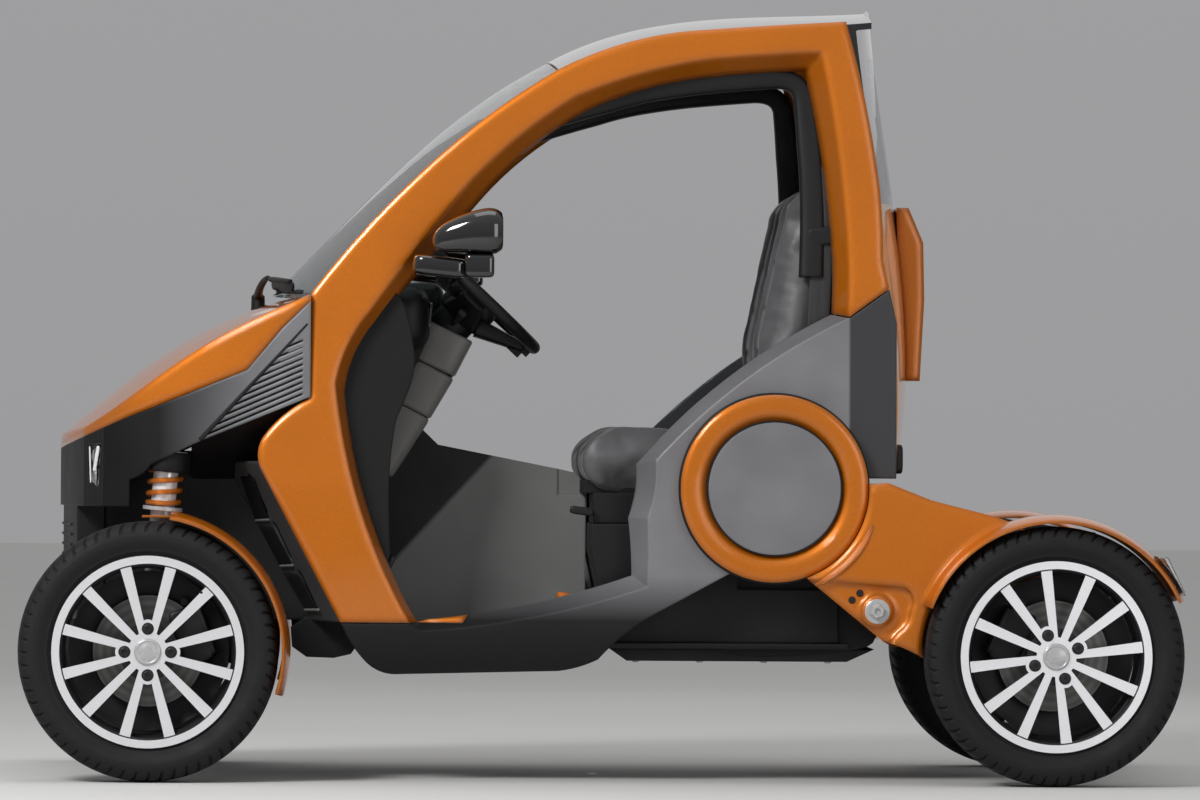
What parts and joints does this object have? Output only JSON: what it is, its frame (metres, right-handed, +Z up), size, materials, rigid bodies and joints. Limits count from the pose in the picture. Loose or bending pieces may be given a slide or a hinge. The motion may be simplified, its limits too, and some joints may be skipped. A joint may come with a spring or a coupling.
{
  "type": "open-sided two-seat electric micro car",
  "caption": "Small open-sided electric car with tall orange door rings, steered front wheels outside the nose and rear arms hung on round side hubs.",
  "frame": {"origin": "on the ground below the middle of the car's box", "axes": "+X forward, +Y to the car's left, +Z up"},
  "size_m": [2.5196, 1.38, 1.6921],
  "materials": {
    "orange_paint": "metallic clear coat",
    "grey_moulding": "grained satin",
    "black_plastic": "grained matte",
    "gloss_black": "gloss",
    "black_steel": "semi matte",
    "bare_steel": "turned",
    "alloy": "machined",
    "tyre_rubber": "matte",
    "tinted_glass": "clear",
    "lamp_lens": "clear",
    "seat_cover": "grained"
  },
  "bodies": {
    "cabin": {"battery_box": "black_plastic", "belly_pan": "black_plastic", "bonnet": "orange_paint", "centre_tunnel": "grey_moulding", "dashboard": "black_plastic", "door_mirrors": "gloss_black", "drive_unit": "black_plastic", "floor_tub": "black_plastic", "front_bumper": "black_plastic", "front_pod": "black_plastic", "front_subframe": "black_steel", "headlamps": "lamp_lens", "lower_arms": "black_steel", "nose_panels": "grey_moulding", "pivot_covers": "grey_moulding", "pivot_rings": "orange_paint", "pivot_stubs": "black_steel", "plate_housing": "orange_paint", "rear_arm_left": "orange_paint", "rear_arm_right": "orange_paint", "rear_axle": "black_steel", "rear_deck": "black_plastic", "rear_lamps": "lamp_lens", "rear_window": "tinted_glass", "roof_panel": "gloss_black", "seat_backs": "seat_cover", "seat_bases": "black_plastic", "seat_cushions": "seat_cover", "side_frame_left": "orange_paint", "side_frame_right": "orange_paint", "side_moulding_left": "grey_moulding", "side_moulding_right": "grey_moulding", "steering_column": "grey_moulding", "tail_panel": "orange_paint", "wheel_well_panels": "black_plastic", "windscreen": "tinted_glass"},
    "steer_left": {"knuckle_left": "black_steel", "strut_left": "bare_steel", "spring_left": "orange_paint", "front_fender_left": "orange_paint"},
    "steer_right": {"knuckle_right": "black_steel", "strut_right": "bare_steel", "spring_right": "orange_paint", "front_fender_right": "orange_paint"},
    "wheel_front_left": {"tyre_front_left": "tyre_rubber", "rim_front_left": "alloy", "brake_disc_front_left": "bare_steel"},
    "wheel_front_right": {"tyre_front_right": "tyre_rubber", "rim_front_right": "alloy", "brake_disc_front_right": "bare_steel"},
    "wheel_rear_left": {"tyre_rear_left": "tyre_rubber", "rim_rear_left": "alloy", "brake_disc_rear_left": "bare_steel"},
    "wheel_rear_right": {"tyre_rear_right": "tyre_rubber", "rim_rear_right": "alloy", "brake_disc_rear_right": "bare_steel"},
    "steering_wheel": {"steering_wheel": "black_plastic"}
  },
  "joints": [
    {"name": "steer_left", "type": "hinge", "parent": "cabin", "child": "steer_left", "pos_m": [0.97875, 0.462, 0.281], "axis": [-0.0872, 0, 0.9962], "range_deg": [-30, 30]},
    {"name": "steer_right", "type": "hinge", "parent": "cabin", "child": "steer_right", "pos_m": [0.97875, -0.462, 0.281], "axis": [-0.0872, 0, 0.9962], "range_deg": [-30, 30]},
    {"name": "steering_wheel_turn", "type": "hinge", "parent": "cabin", "child": "steering_wheel", "pos_m": [0.264, 0.235, 1.058], "axis": [-0.682, 0, 0.7314], "range_deg": [-450, 450]},
    {"name": "wheel_front_left_spin", "type": "hinge", "parent": "steer_left", "child": "wheel_front_left", "pos_m": [0.97875, 0.59, 0.281], "axis": [0, 1, 0], "continuous": true},
    {"name": "wheel_front_right_spin", "type": "hinge", "parent": "steer_right", "child": "wheel_front_right", "pos_m": [0.97875, -0.59, 0.281], "axis": [0, 1, 0], "continuous": true},
    {"name": "wheel_rear_left_spin", "type": "hinge", "parent": "cabin", "child": "wheel_rear_left", "pos_m": [-0.97875, 0.59, 0.281], "axis": [0, 1, 0], "continuous": true},
    {"name": "wheel_rear_right_spin", "type": "hinge", "parent": "cabin", "child": "wheel_rear_right", "pos_m": [-0.97875, -0.59, 0.281], "axis": [0, 1, 0], "continuous": true}
  ],
  "couplings": [
    {"joint": "steer_right", "follows": "steer_left", "ratio": 1},
    {"joint": "steering_wheel_turn", "follows": "steer_left", "ratio": 15}
  ]
}
